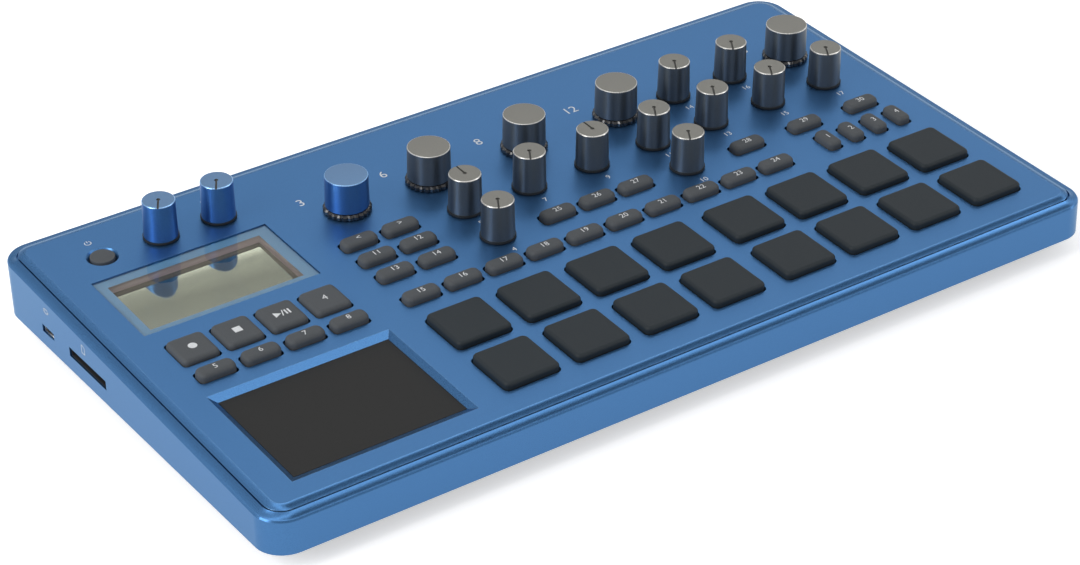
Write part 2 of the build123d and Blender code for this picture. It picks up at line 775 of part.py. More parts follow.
pad_side = pad_hole - 2 * pad_gap
for number, spot in enumerate(pad_spots, start=1):
    caps(f"pad_{number}", [spot], (pad_side, pad_side), pad_rise, pad_edge, pad_corner, pad_flange_thickness)
for name, (spots, hole, rise, edge) in key_groups.items():
    cap_size = (hole[0] - 2 * key_gap, hole[1] - 2 * key_gap)
    caps(name, spots, cap_size, rise, edge, key_corner, key_flange_thickness)

with BuildPart() as power_button:
    with BuildSketch(panel.offset(-flange_depth)):
        with Locations(power_spot):
            Circle(power_radius)
    extrude(amount=flange_depth + power_rise)
    with BuildSketch(panel.offset(-key_flange_bottom)):
        with Locations(power_spot):
            Circle(power_radius + power_hole_gap + flange_lip)
    extrude(amount=key_flange_thickness)
keep(power_button, "power_button")


# ---------------------------------------------------------------- boards and what they carry
with BuildPart() as panel_board:
    with BuildSketch(panel.offset(-board_drop)):
        with Locations((0, mean(*panel_board_edges))):
            Rectangle(panel_board_width, panel_board_edges[1] - panel_board_edges[0])
        with Locations((touch_centre[0], mean(*board_tab_edges))):
            Rectangle(board_tab_width, board_tab_edges[1] - board_tab_edges[0])
    extrude(amount=-board_thickness)
keep(panel_board, "panel_board")

with BuildPart() as pad_board:
    with BuildSketch(panel.offset(-pad_board_drop)):
        with Locations((mean(pad_columns[0], pad_columns[-1]), mean(*pad_board_edges))):
            Rectangle(pad_board_width, pad_board_edges[1] - pad_board_edges[0])
    extrude(amount=-board_thickness)
keep(pad_board, "pad_board")

with BuildPart() as main_boards:
    with BuildSketch(Plane.XY.offset(main_board_top)):
        for (left, right), (front, rear) in ((main_board_x, main_board_y), (jack_board_x, jack_board_y)):
            with Locations((mean(left, right), mean(front, rear))):
                Rectangle(right - left, rear - front)
    extrude(amount=-board_thickness)
keep(main_boards, "main_boards")


def shaft_controls(name, spots, size):
    """Pots or encoders: a body between board and panel, with a bushing through the panel."""
    with BuildPart() as piece:
        with BuildSketch(panel.offset(-board_drop)):
            with Locations(*spots):
                Rectangle(*size)
        extrude(amount=board_drop - panel_thickness)
        with BuildSketch(panel.offset(-panel_thickness)):
            with Locations(*spots):
                Circle(bushing_radius)
        extrude(amount=panel_thickness + bushing_rise)
        with BuildSketch(panel.offset(bushing_rise)):
            with Locations(*spots):
                Circle(shaft_radius)
        extrude(amount=-bushing_rise - shaft_reach - knob_cavity_gap, mode=Mode.SUBTRACT)
    keep(piece, name)


shaft_controls("potentiometers", pot_spots, (pot_width, pot_depth))
shaft_controls("encoders", encoder_spots, (encoder_size, encoder_size))

with BuildPart() as key_switches:
    with BuildSketch(panel.offset(-board_drop)):
        with Locations(power_spot, *[spot for spots, _ in key_holes for spot in spots]):
            Rectangle(switch_size, switch_size)
    extrude(amount=board_drop - switch_top)
keep(key_switches, "key_switches")

# ---------------------------------------------------------------- cells and their contacts
cell_columns = [bay_middle[0] + cell_pitch * (i - (cell_count - 1) / 2) for i in range(cell_count)]
bay_front = bay_middle[1] - bay_size[1] / 2
with BuildPart() as battery_cells:
    with BuildSketch(Plane.XZ.offset(-bay_front)):
        with Locations(*[(x, cell_axis) for x in cell_columns]):
            Rectangle(contact_size, contact_size)
    extrude(amount=-contact_thickness)
    with BuildSketch(Plane.XZ.offset(-bay_front - bay_size[1] + contact_thickness)):
        with Locations(*[(x, cell_axis) for x in cell_columns]):
            Rectangle(contact_size, contact_size)
    extrude(amount=-contact_thickness)
    with BuildSketch(Plane.XZ.offset(-bay_front - contact_thickness - contact_gap)):
        with Locations(*[(x, cell_axis) for x in cell_columns]):
            Circle(cell_radius)
    extrude(amount=cell_nub_length - cell_length)
    with BuildSketch(Plane.XZ.offset(-bay_front - contact_thickness - contact_gap)):
        with Locations(*[(x, cell_axis) for x in cell_columns]):
            Circle(cell_nub_radius)
    extrude(amount=-cell_length)
keep(battery_cells, "battery_cells")

# ---------------------------------------------------------------- sockets
with BuildPart() as rear_jacks:
    with BuildSketch(rear_wall.offset(-wall)):
        with Locations(*[(-x, line_jack_axis) for x in line_jack_columns]):
            Rectangle(line_jack_body[0], line_jack_body[1])
    extrude(amount=-line_jack_body[2])
    with BuildSketch(rear_wall.offset(-wall)):
        with Locations(*[(-x, mini_jack_axis) for x in mini_jack_columns]):
            Rectangle(mini_jack_body[0], mini_jack_body[1])
    extrude(amount=-mini_jack_body[2])
    with BuildSketch(rear_wall.offset(-wall)):
        with Locations((-inlet_x, inlet_axis)):
            Rectangle(inlet_body[0], inlet_body[1])
    extrude(amount=-inlet_body[2])
    with BuildSketch(rear_wall.offset(-wall)):
        with Locations(*[(-x, line_jack_axis) for x in line_jack_columns]):
            Circle(line_jack_nose)
        with Locations(*[(-x, mini_jack_axis) for x in mini_jack_columns]):
            Circle(mini_jack_nose)
        with Locations((-inlet_x, inlet_axis)):
            Circle(inlet_nose)
    extrude(amount=wall - nose_sink)
    with BuildSketch(rear_wall.offset(-nose_sink)):
        with Locations(*[(-x, line_jack_axis) for x in line_jack_columns]):
            Circle(line_jack_bore)
    extrude(amount=-line_jack_reach, mode=Mode.SUBTRACT)
    with BuildSketch(rear_wall.offset(-nose_sink)):
        with Locations(*[(-x, mini_jack_axis) for x in mini_jack_columns]):
            Circle(mini_jack_bore)
    extrude(amount=-mini_jack_reach, mode=Mode.SUBTRACT)
    with BuildSketch(rear_wall.offset(-nose_sink)):
        with Locations((-inlet_x, inlet_axis)):
            Circle(inlet_bore)
            Circle(inlet_pin, mode=Mode.SUBTRACT)
    extrude(amount=-inlet_reach, mode=Mode.SUBTRACT)
keep(rear_jacks, "rear_jacks")

with BuildPart() as side_sockets:
    for y, axis_height, (width, height, depth) in (
        (usb_y, usb_axis, usb_body),
        (card_y, card_axis, card_body),
    ):
        with BuildSketch(left_wall.offset(-socket_recess)):
            with Locations((-y, axis_height)):
                Rectangle(width, height)
        extrude(amount=-depth)
        with BuildSketch(left_wall.offset(-socket_recess)):
            with Locations((-y, axis_height)):
                Rectangle(width - 2 * socket_skin, height - 2 * socket_skin)
        extrude(amount=2 * socket_skin - depth, mode=Mode.SUBTRACT)
    # the contact tongue inside the USB socket
    with BuildSketch(left_wall.offset(-socket_recess - usb_body[2])):
        with Locations((-usb_y, usb_axis)):
            Rectangle(*usb_tongue)
    extrude(amount=usb_body[2] - socket_recess)
keep(side_sockets, "side_sockets")
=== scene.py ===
# %% [markdown]
# # A table-top drum machine
# The part is a wedge-shaped metal box about 34 cm wide, with a painted panel, rubber pads and keys,
# turned knobs, a small screen and a sunk touch pad. The solids come from the CAD frame, and this
# script gives every visible piece its finish, and its fine shape where the solid is too plain.

import bmesh
import bpy
import json
import math
from mathutils import Matrix, Vector


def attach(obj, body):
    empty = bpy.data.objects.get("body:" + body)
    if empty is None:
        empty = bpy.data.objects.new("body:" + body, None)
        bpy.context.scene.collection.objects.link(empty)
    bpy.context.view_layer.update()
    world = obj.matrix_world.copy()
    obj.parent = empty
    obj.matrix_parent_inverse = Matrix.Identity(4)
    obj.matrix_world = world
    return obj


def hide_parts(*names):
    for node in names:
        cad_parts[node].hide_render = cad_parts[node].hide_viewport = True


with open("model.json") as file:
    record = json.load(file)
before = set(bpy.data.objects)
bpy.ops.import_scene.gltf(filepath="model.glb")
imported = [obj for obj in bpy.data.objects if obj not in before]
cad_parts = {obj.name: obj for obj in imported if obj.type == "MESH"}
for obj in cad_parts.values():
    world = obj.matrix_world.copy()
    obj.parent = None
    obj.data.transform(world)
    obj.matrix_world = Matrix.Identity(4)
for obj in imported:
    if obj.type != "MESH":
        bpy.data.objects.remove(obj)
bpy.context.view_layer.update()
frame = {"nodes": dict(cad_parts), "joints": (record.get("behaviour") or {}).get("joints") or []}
nodes = frame["nodes"]
joints = {joint["child"]: joint for joint in frame["joints"]}
scene = bpy.context.scene
MM = 0.001
print("CAD nodes:", len(nodes), "moving bodies:", len(joints))

# %% [markdown]
# ## The panel's own axes
# All controls stand square to a panel that rises towards the back. One matrix that turns panel
# coordinates in millimetres into the frame's lets every control be modelled upright and then set
# down. Its direction is read from a knob's joint, so it follows the CAD model if the slope changes.

# %% Panel matrix
panel_up = Vector(joints["volume_knob"]["axis"]).normalized()
across = Vector((1, 0, 0))
uphill = panel_up.cross(across)
panel_height = Vector(joints["volume_knob"]["pos_m"]).dot(panel_up) / panel_up.z
panel_axes = Matrix((across, uphill, panel_up)).transposed().to_4x4()
panel = Matrix.Translation((0, 0, panel_height)) @ panel_axes @ Matrix.Scale(MM, 4)
to_panel = panel.inverted()
print("panel tilt, degrees:", round(math.degrees(math.acos(panel_up.z)), 3))

# %% [markdown]
# ## Camera
# The object is seen from the front left, from a little over a metre away with a long lens, so its
# far edge is only slightly smaller than its near edge. The camera is built from its direction, the
# distance and two small offsets, because those are the numbers that a photographer would change.

# %% Camera
camera_azimuth = math.radians(-33.5075)
camera_elevation = math.radians(31.1420)
camera_roll = math.radians(-1.6660)
camera_offset = Vector((-4.440, -5.390, 1058.904)) * MM
camera_base = Vector((0, 0, 7.5)) * MM
lens_pixels = 2971.28
image_width = 1080

back = Vector((
    math.sin(camera_azimuth) * math.cos(camera_elevation),
    -math.cos(camera_azimuth) * math.cos(camera_elevation),
    math.sin(camera_elevation),
))
right = Vector((0, 0, 1)).cross(back).normalized()
up = back.cross(right)
rolled_right = right * math.cos(camera_roll) + up * math.sin(camera_roll)
rolled_up = up * math.cos(camera_roll) - right * math.sin(camera_roll)
camera_axes = Matrix((rolled_right, rolled_up, back)).transposed()
camera_data = bpy.data.cameras.new("camera")
camera_data.sensor_width = 36
camera_data.lens = lens_pixels / image_width * camera_data.sensor_width
camera_data.clip_start = 0.01
camera = bpy.data.objects.new("camera", camera_data)
camera_place = camera_base + camera_axes @ camera_offset
camera.matrix_world = Matrix.Translation(camera_place) @ camera_axes.to_4x4()
scene.collection.objects.link(camera)
scene.camera = camera
print("lens, mm:", round(camera_data.lens, 2))

# %% [markdown]
# ## Studio
# A product table with a plain pale floor. The world is white where the camera looks past the
# object and a plain fill where it lights matt surfaces. Gloss and glass see the same white
# backdrop near the horizon, a greyer band over it, and a dark flag high on the right: slopes that
# face the front mirror the flag, so the rim of the panel reads as dark bands between bright edges,
# while flat metal keeps its mid tone. A halo round the flag gives the edges their thin line. It is
# brighter than the backdrop, so under a plain sky the edges would look duller.


# %% World, lamps and floor
def link(tree, start, end):
    """Joins two sockets of one node tree."""
    tree.links.new(start, end)


def add(tree, kind, **values):
    """A new node of that kind, with its plain properties set."""
    node = tree.nodes.new(kind)
    for name, value in values.items():
        setattr(node, name, value)
    return node


scene.view_settings.view_transform = "Standard"
horizon_grey = 1.0
middle_grey = 0.54
zenith_grey = 0.95
middle_height = 0.56
zenith_height = 0.72
fill_strength = 0.66
flag_direction = Vector((0.45, 0.08, 0.86)).normalized()
halo_stops = [(0.81, 1.0), (0.865, 3.4), (0.9, 3.4), (0.94, 0.32), (0.99, 0.2)]

world = bpy.data.worlds.new("studio")
scene.world = world
world.use_nodes = True
tree = world.node_tree
tree.nodes.clear()
direction = add(tree, "ShaderNodeTexCoord")
height = add(tree, "ShaderNodeSeparateXYZ")
ramp = add(tree, "ShaderNodeValToRGB")
ramp.color_ramp.elements[0].color = (horizon_grey, horizon_grey, horizon_grey, 1)
ramp.color_ramp.elements[1].color = (zenith_grey, zenith_grey, zenith_grey, 1)
ramp.color_ramp.elements[1].position = zenith_height
ramp.color_ramp.elements.new(middle_height).color = (middle_grey, middle_grey, middle_grey, 1)
flag = add(tree, "ShaderNodeVectorMath", operation="DOT_PRODUCT")
flag.inputs[1].default_value = flag_direction
halo = add(tree, "ShaderNodeValToRGB")
stops = halo.color_ramp.elements
stops[0].position, stops[0].color = halo_stops[0][0], (halo_stops[0][1],) * 3 + (1,)
stops[1].position, stops[1].color = halo_stops[-1][0], (halo_stops[-1][1],) * 3 + (1,)
for spot, grey in halo_stops[1:-1]:
    stops.new(spot).color = (grey, grey, grey, 1)
plain = add(tree, "ShaderNodeBackground")
plain.inputs["Strength"].default_value = fill_strength
mirrored = add(tree, "ShaderNodeBackground")
white = add(tree, "ShaderNodeBackground")
white.inputs["Color"].default_value = (1, 1, 1, 1)
ray = add(tree, "ShaderNodeLightPath")
shiny = add(tree, "ShaderNodeMath", operation="MAXIMUM")
choose_mirrored = add(tree, "ShaderNodeMixShader")
choose_white = add(tree, "ShaderNodeMixShader")
world_out = add(tree, "ShaderNodeOutputWorld")
link(tree, direction.outputs["Generated"], height.inputs["Vector"])
link(tree, height.outputs["Z"], ramp.inputs["Fac"])
link(tree, ramp.outputs["Color"], mirrored.inputs["Color"])
link(tree, direction.outputs["Generated"], flag.inputs[0])
link(tree, flag.outputs["Value"], halo.inputs["Fac"])
link(tree, halo.outputs["Color"], mirrored.inputs["Strength"])
link(tree, ray.outputs["Is Glossy Ray"], shiny.inputs[0])
link(tree, ray.outputs["Is Transmission Ray"], shiny.inputs[1])
link(tree, shiny.outputs["Value"], choose_mirrored.inputs["Fac"])
link(tree, plain.outputs["Background"], choose_mirrored.inputs[1])
link(tree, mirrored.outputs["Background"], choose_mirrored.inputs[2])
link(tree, ray.outputs["Is Camera Ray"], choose_white.inputs["Fac"])
link(tree, choose_mirrored.outputs["Shader"], choose_white.inputs[1])
link(tree, white.outputs["Background"], choose_white.inputs[2])
link(tree, choose_white.outputs["Shader"], world_out.inputs["Surface"])


def soft_lamp(name, place, size, power):
    """An area lamp of that size in metres, at place, turned towards the object."""
    data = bpy.data.lights.new(name, "AREA")
    data.shape = "RECTANGLE"
    data.size, data.size_y = size
    data.energy = power
    lamp = bpy.data.objects.new(name, data)
    look = -Vector(place)
    lamp.matrix_world = Matrix.Translation(place) @ look.to_track_quat("-Z", "Y").to_matrix().to_4x4()
    scene.collection.objects.link(lamp)


soft_lamp("left_softbox", (-1.45, -0.05, 0.95), (0.7, 0.9), 14.5)
soft_lamp("right_softbox", (1.3, -0.7, 0.7), (0.25, 0.9), 2.5)

floor_colour = (0.93, 0.93, 0.93, 1)
floor_glow = 0.5
floor_mesh = bpy.data.meshes.new("floor")
floor_shape = bmesh.new()
bmesh.ops.create_grid(floor_shape, x_segments=1, y_segments=1, size=4)
floor_shape.to_mesh(floor_mesh)
floor_shape.free()
floor = bpy.data.objects.new("floor", floor_mesh)
scene.collection.objects.link(floor)
floor_finish = bpy.data.materials.new("floor_finish")
floor_finish.use_nodes = True
tree = floor_finish.node_tree
shader = tree.nodes["Principled BSDF"]
shader.inputs["Base Color"].default_value = floor_colour
shader.inputs["Roughness"].default_value = 0.9
shader.inputs["Emission Color"].default_value = (1, 1, 1, 1)
ray = add(tree, "ShaderNodeLightPath")
shiny = add(tree, "ShaderNodeMath", operation="MAXIMUM")
showing = add(tree, "ShaderNodeMath", operation="MAXIMUM")
glow = add(tree, "ShaderNodeMath", operation="MULTIPLY")
glow.inputs[1].default_value = floor_glow
link(tree, ray.outputs["Is Glossy Ray"], shiny.inputs[0])
link(tree, ray.outputs["Is Transmission Ray"], shiny.inputs[1])
link(tree, shiny.outputs["Value"], showing.inputs[0])
link(tree, ray.outputs["Is Camera Ray"], showing.inputs[1])
link(tree, showing.outputs["Value"], glow.inputs[0])
link(tree, glow.outputs["Value"], shader.inputs["Emission Strength"])
floor_mesh.materials.append(floor_finish)

# %% [markdown]
# ## Finishes
# Each finish is a Principled BSDF with its plain values on its own sockets. What varies over a
# surface, such as paint flake or the fine tooth of moulded rubber, comes from one small node group
# that several finishes share at different scales: noise read as a relief and as a soft mask.


# %% Shared node group
def new_group(name, inputs, outputs):
    """An empty shader node group with float sockets, as (group, its input node, its output node)."""
    group = bpy.data.node_groups.new(name, "ShaderNodeTree")
    for socket_name, default in inputs:
        socket = group.interface.new_socket(socket_name, in_out="INPUT", socket_type="NodeSocketFloat")
        socket.default_value = default
    for socket_name in outputs:
        group.interface.new_socket(socket_name, in_out="OUTPUT", socket_type="NodeSocketFloat")
    return group, add(group, "NodeGroupInput"), add(group, "NodeGroupOutput")


def fine_tooth_group():
    """Noise of a stated grain, as a height for Bump and as a mask from 0 to 1."""
    inputs = [("Grains per metre", 2500), ("Detail", 3)]
    group, given, result = new_group("fine_tooth", inputs, ["Height", "Mask"])
    where = add(group, "ShaderNodeTexCoord")
    noise = add(group, "ShaderNodeTexNoise")
    spread = add(group, "ShaderNodeMapRange")
    spread.inputs["From Min"].default_value = 0.35
    spread.inputs["From Max"].default_value = 0.65
    link(group, where.outputs["Object"], noise.inputs["Vector"])
    link(group, given.outputs["Grains per metre"], noise.inputs["Scale"])
    link(group, given.outputs["Detail"], noise.inputs["Detail"])
    link(group, noise.outputs["Fac"], spread.inputs["Value"])
    link(group, noise.outputs["Fac"], result.inputs["Height"])
    link(group, spread.outputs["Result"], result.inputs["Mask"])
    return group


fine_tooth = fine_tooth_group()


def finish(name, colour, roughness, grain=2500, bump=0.1, vary=0.08, rough_vary=0.05, **sockets):
    """A Principled material whose colour, roughness and relief vary with the fine tooth."""
    material = bpy.data.materials.new(name)
    material.use_nodes = True
    tree = material.node_tree
    shader = tree.nodes["Principled BSDF"]
    for socket, value in sockets.items():
        shader.inputs[socket.replace("_", " ").title().replace("Ior", "IOR")].default_value = value
    tooth = add(tree, "ShaderNodeGroup", node_tree=fine_tooth)
    tooth.inputs["Grains per metre"].default_value = grain
    tint = add(tree, "ShaderNodeMix", data_type="RGBA")
    tint.inputs["A"].default_value = (*[c * (1 - vary) for c in colour], 1)
    tint.inputs["B"].default_value = (*[min(c * (1 + vary), 1) for c in colour], 1)
    shader.inputs["Roughness"].default_value = roughness
    if rough_vary:
        rough = add(tree, "ShaderNodeMapRange")
        rough.inputs["To Min"].default_value = roughness - rough_vary
        rough.inputs["To Max"].default_value = roughness + rough_vary
        link(tree, tooth.outputs["Mask"], rough.inputs["Value"])
        link(tree, rough.outputs["Result"], shader.inputs["Roughness"])
    if bump:
        relief = add(tree, "ShaderNodeBump")
        relief.inputs["Strength"].default_value = bump
        relief.inputs["Distance"].default_value = 0.05 * MM
        link(tree, tooth.outputs["Height"], relief.inputs["Height"])
        link(tree, relief.outputs["Normal"], shader.inputs["Normal"])
    link(tree, tooth.outputs["Mask"], tint.inputs["Factor"])
    link(tree, tint.outputs["Result"], shader.inputs["Base Color"])
    return material


def turned(material, strength):
    """Gives a finish the fine rings of a turned side: the gloss spreads up and down, across them."""
    tree = material.node_tree
    shader = tree.nodes["Principled BSDF"]
    shader.inputs["Anisotropic"].default_value = strength
    shader.inputs["Anisotropic Rotation"].default_value = 0.25
    around = add(tree, "ShaderNodeTangent", direction_type="UV_MAP", uv_map="around")
    link(tree, around.outputs["Tangent"], shader.inputs["Tangent"])
    return material


# %% The finishes
paint_blue = (0.06, 0.165, 0.355)
graze_blue = (0.82, 0.93, 1.0, 1)
blue_paint = finish(
    "blue_paint", paint_blue, 0.42, grain=6000, bump=0.05, vary=0.12, metallic=0.88, specular_tint=graze_blue,
)
blue_edge = finish(
    "blue_edge", paint_blue, 0.3, grain=6000, bump=0.03, vary=0.12, metallic=0.93, specular_tint=graze_blue,
)
# A lighter blue for the rounded edges of the rim, the touch pad and the window: a painted highlight.
blue_painted_highlight = finish("blue_painted_highlight", (0.24, 0.42, 0.66), 0.25, vary=0.05, bump=0.0, metallic=0.9)
mask_blue = finish("mask_blue", (0.05, 0.125, 0.21), 0.5, vary=0.02, bump=0.0)
black_moulding = finish("black_moulding", (0.02, 0.02, 0.022), 0.55, grain=1500, bump=0.4)
foot_rubber = finish("foot_rubber", (0.015, 0.015, 0.015), 0.8)
screw_black = finish("screw_black", (0.08, 0.08, 0.08), 0.35, metallic=1.0)
# Knob finishes: the sides are coloured darker and bluer than the tops, painted shade, and the bevels lighter,
# a painted highlight; only the turned rings of the sides are real.
grey_top = finish("grey_top", (0.205, 0.202, 0.184), 0.45, grain=4000, bump=0.05, metallic=0.8)
grey_side_painted_shade = turned(finish("grey_side_painted_shade", (0.106, 0.128, 0.152), 0.4, grain=4000, bump=0.03, metallic=0.9), 0.8)
blue_top = finish("blue_top", (0.124, 0.226, 0.385), 0.42, grain=4000, bump=0.05, metallic=0.8)
blue_side_painted_shade = turned(finish("blue_side_painted_shade", (0.052, 0.162, 0.42), 0.4, grain=4000, bump=0.03, metallic=0.9), 0.8)
grey_painted_highlight = finish("grey_painted_highlight", (0.55, 0.545, 0.52), 0.3, vary=0.05, bump=0.0, metallic=1.0)
knob_glint = finish("knob_glint", (0.26, 0.46, 0.75), 0.3, vary=0.05, bump=0.0, metallic=1.0)
skirt_black = finish("skirt_black", (0.012, 0.012, 0.014), 0.28, bump=0.0, coat_weight=0.5)
pointer_dark = finish("pointer_dark", (0.008, 0.009, 0.01), 0.6)
groove_grey = finish("groove_grey", (0.075, 0.074, 0.067), 0.6)
rubber_gloss = 0.3
pad_rubber = finish(
    "pad_rubber", (0.012, 0.018, 0.023), 0.6, grain=3000, bump=0.2, specular_ior_level=rubber_gloss,
)
key_rubber = finish(
    "key_rubber", (0.075, 0.082, 0.09), 0.65, grain=3000, bump=0.2, specular_ior_level=rubber_gloss,
)
touch_film = finish(
    "touch_film", (0.008, 0.008, 0.0077), 0.6, grain=4000, bump=0.1, specular_ior_level=rubber_gloss,
)
screen_face = finish(
    "screen_face", (0.37, 0.385, 0.3), 0.04, vary=0.02, rough_vary=0.0, bump=0.0, metallic=1.0,
)
screen_frame = finish("screen_frame", (0.13, 0.1, 0.09), 0.5, vary=0.02, bump=0.0)
board_green = finish("board_green", (0.02, 0.12, 0.05), 0.5)
plated = finish("plated", (0.6, 0.6, 0.6), 0.35, metallic=1.0)
print_white = finish("print_white", (0.72, 0.74, 0.76), 0.5, bump=0.0)


def glass_finish(name, shine, alpha=1.0):
    """Clear acrylic bonded to what lies under it: light passes straight, and a shiny face reflects too."""
    material = bpy.data.materials.new(name)
    material.use_nodes = True
    tree = material.node_tree
    shader = tree.nodes["Principled BSDF"]
    shader.inputs["Base Color"].default_value = (0.97, 0.99, 0.98, 1)
    shader.inputs["Roughness"].default_value = 0.0
    shader.inputs["IOR"].default_value = 1.01
    shader.inputs["Transmission Weight"].default_value = 1.0
    shader.inputs["Coat Roughness"].default_value = 0.02
    shader.inputs["Alpha"].default_value = alpha
    shader.inputs["Coat Weight"].default_value = shine
    clear = add(tree, "ShaderNodeBsdfTransparent")
    ray = add(tree, "ShaderNodeLightPath")
    choose = add(tree, "ShaderNodeMixShader")
    link(tree, ray.outputs["Is Shadow Ray"], choose.inputs["Fac"])
    link(tree, shader.outputs["BSDF"], choose.inputs[1])
    link(tree, clear.outputs["BSDF"], choose.inputs[2])
    link(tree, choose.outputs["Shader"], tree.nodes["Material Output"].inputs["Surface"])
    return material


window_face = glass_finish("window_face", 1.0)
window_body = glass_finish("window_body", 0.0, alpha=0.0)

# %% [markdown]
# ## Pieces
# A CAD solid has knife edges, and real castings and mouldings don't: the thin line of light along
# a rounded edge is much of what makes a surface look real. So a solid's mesh is copied, its
# flat faces are made whole again, and its sharp edges are rounded by a fraction of a millimetre.


# %% Helpers for pieces
def piece(shape, name, body, finishes, stands_for=(), smooth=35):
    """A bmesh in metres as an object that moves with a body. Edges over smooth degrees stay sharp."""
    mesh = bpy.data.meshes.new(name)
    shape.to_mesh(mesh)
    shape.free()
    for material in finishes:
        mesh.materials.append(material)
    mesh.shade_smooth()
    mesh.set_sharp_from_angle(angle=math.radians(smooth))
    made = bpy.data.objects.new(name, mesh)
    flats_first = made.modifiers.new("flats_first", "WEIGHTED_NORMAL")
    flats_first.weight = 100
    flats_first.keep_sharp = True
    scene.collection.objects.link(made)
    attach(made, body)
    if stands_for:
        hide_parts(*stands_for)
    return made


def whole_copy(node):
    """A CAD node's mesh as a bmesh in millimetres on the panel, welded and with its flat faces whole."""
    shape = bmesh.new()
    shape.from_mesh(nodes[node].data)
    shape.transform(to_panel)
    bmesh.ops.remove_doubles(shape, verts=shape.verts, dist=0.001)
    bmesh.ops.dissolve_limit(shape, angle_limit=math.radians(1), verts=shape.verts, edges=shape.edges)
    return shape


def is_border(edge, turn=25, slope_change=0.03):
    """Whether an edge parts two faces of the real piece: it turns sharply, or the slope changes there."""
    if not edge.is_manifold:
        return False
    slopes = [face.normal.z for face in edge.link_faces]
    return edge.calc_face_angle() > math.radians(turn) or abs(slopes[0] - slopes[1]) > slope_change


def soften(shape, width, segments=2):
    """Rounds the edges between faces of the real piece, not a curve's facets. Returns the new faces."""
    sharp = [edge for edge in shape.edges if is_border(edge)]
    rounded = bmesh.ops.bevel(
        shape, geom=sharp, offset=width, offset_type="OFFSET", segments=segments, profile=0.5,
        affect="EDGES", clamp_overlap=True, material=-1,
    )
    return rounded["faces"]


def joined(shapes):
    """Several shapes as one."""
    whole = bmesh.new()
    for shape in shapes:
        part = bpy.data.meshes.new("part")
        shape.to_mesh(part)
        shape.free()
        whole.from_mesh(part)
        bpy.data.meshes.remove(part)
    return whole


def islands(node):
    """The solids of a CAD node, as (lowest corner, highest corner) on the panel of what stands over it."""
    shape = whole_copy(node)
    left = set(shape.verts)
    found = []
    while left:
        reached = [left.pop()]
        island = []
        while reached:
            vert = reached.pop()
            island.append(vert.co.copy())
            for edge in vert.link_edges:
                other = edge.other_vert(vert)
                if other in left:
                    left.remove(other)
                    reached.append(other)
        proud = [co for co in island if co.z > 0.05]
        found.append((
            Vector([min(co[i] for co in proud) for i in range(3)]),
            Vector([max(co[i] for co in proud) for i in range(3)]),
        ))
    shape.free()
    return sorted(found, key=lambda box: (-round(box[0].y), box[0].x))


def place_on_panel(shape):
    """Sets a shape drawn in millimetres on the panel down in the frame."""
    shape.transform(panel)
    return shape


def bar(width, depth, spot, turn=0.0):
    """A flat filled bar on a spot on the panel."""
    shape = bmesh.new()
    bmesh.ops.create_grid(shape, x_segments=1, y_segments=1, size=0.5)
    scaled = Matrix.Diagonal((width, depth, 1, 1))
    shape.transform(Matrix.Translation(spot) @ Matrix.Rotation(math.radians(turn), 4, "Z") @ scaled)
    return shape


# %% [markdown]
# ## Case
# The frame and the panel are die-cast and sprayed with the same satin metallic blue; the thin dark
# line between them is the joint where the panel drops in. Along the back and the right side the
# frame's rim is a millimetre lower, so the panel's edge covers the joint there. The slopes round
# the rim are flat in the CAD solids and slightly curved here. The flakes in the paint lie level on
# the flat faces, which look satin, and the coat is smoother over the rims. The rounded edges of the
# rim, the touch pad and the window are coloured a lighter blue, a painted highlight. The touch
# surface lies about half a millimetre deeper than the CAD solid's. The tub below is a black
# moulding, set back so that the case seems to float.

# %% Case pieces
rim_drop = 1.0
rim_start = Vector((157, 82))  # how far from the middle the rim begins, to the sides and to the ends
flat_enough = 0.9995
band_cuts = 7
band_slack = 0.02
edge_rounding = {"case_frame": 0.45, "top_panel": 0.3}
edge_bands = {
    "case_frame": (-0.7, -2.1, lambda part: 1 - (1 - part) ** 1.7),
    "top_panel": (0.0, -0.9, lambda part: part**1.8),
}


def in_band(vert, top, bottom):
    """Whether a corner lies on the sloping band round the case's upper edge."""
    near_edge = abs(vert.co.x) > rim_start.x or abs(vert.co.y) > rim_start.y
    return near_edge and bottom - band_slack < vert.co.z < top + band_slack


def bend_band(shape, top, bottom, curve):
    """Turns a flat band that slopes from top down to bottom into a curved one. curve maps 0..1 to 0..1."""
    fall = top - bottom
    for cut in range(1, band_cuts):
        slopes = [
            face for face in shape.faces
            if 0.5 < face.normal.z < flat_enough and all(in_band(vert, top, bottom) for vert in face.verts)
        ]
        edges = {edge for face in slopes for edge in face.edges}
        verts = {vert for face in slopes for vert in face.verts}
        level = (0, 0, top - fall * cut / band_cuts)
        bmesh.ops.bisect_plane(
            shape, geom=slopes + list(edges) + list(verts), dist=0.001, plane_co=level, plane_no=(0, 0, 1),
        )
        shape.normal_update()
    for vert in shape.verts:
        if in_band(vert, top, bottom):
            vert.co.z = top - fall * curve(risen(vert.co.z, top, bottom))


def risen(value, start, end):
    """How far a value has come from start to end, from 0 to 1."""
    return min(max((value - start) / (end - start), 0), 1)


def lower_rim(shape, top, bottom):
    """Lowers the inner edge of the frame's rim along the back and the right side."""
    for vert in shape.verts:
        spot = vert.co
        by_back = risen(spot.y, 84, 88)
        by_right = risen(spot.x, 157, 160) * risen(spot.y, -90, -84)
        if in_band(vert, 0, bottom):
            spot.z -= rim_drop * max(by_back, by_right) * risen(spot.z, bottom, top)


touch_low, touch_high = Vector((-151, -77.5, -2.5)), Vector((-85, -28, -1))
touch_sink = Vector((0.41, 0.62, -0.46))


def sink_touch(shape):
    """Sets the touch surface, and the foot of the slopes round it, a little deeper and further back."""
    for vert in shape.verts:
        if all(touch_low[i] < vert.co[i] < touch_high[i] for i in range(3)):
            vert.co += touch_sink if vert.co.z > -2 else touch_sink * Vector((1, 1, 0))
    shape.normal_update()


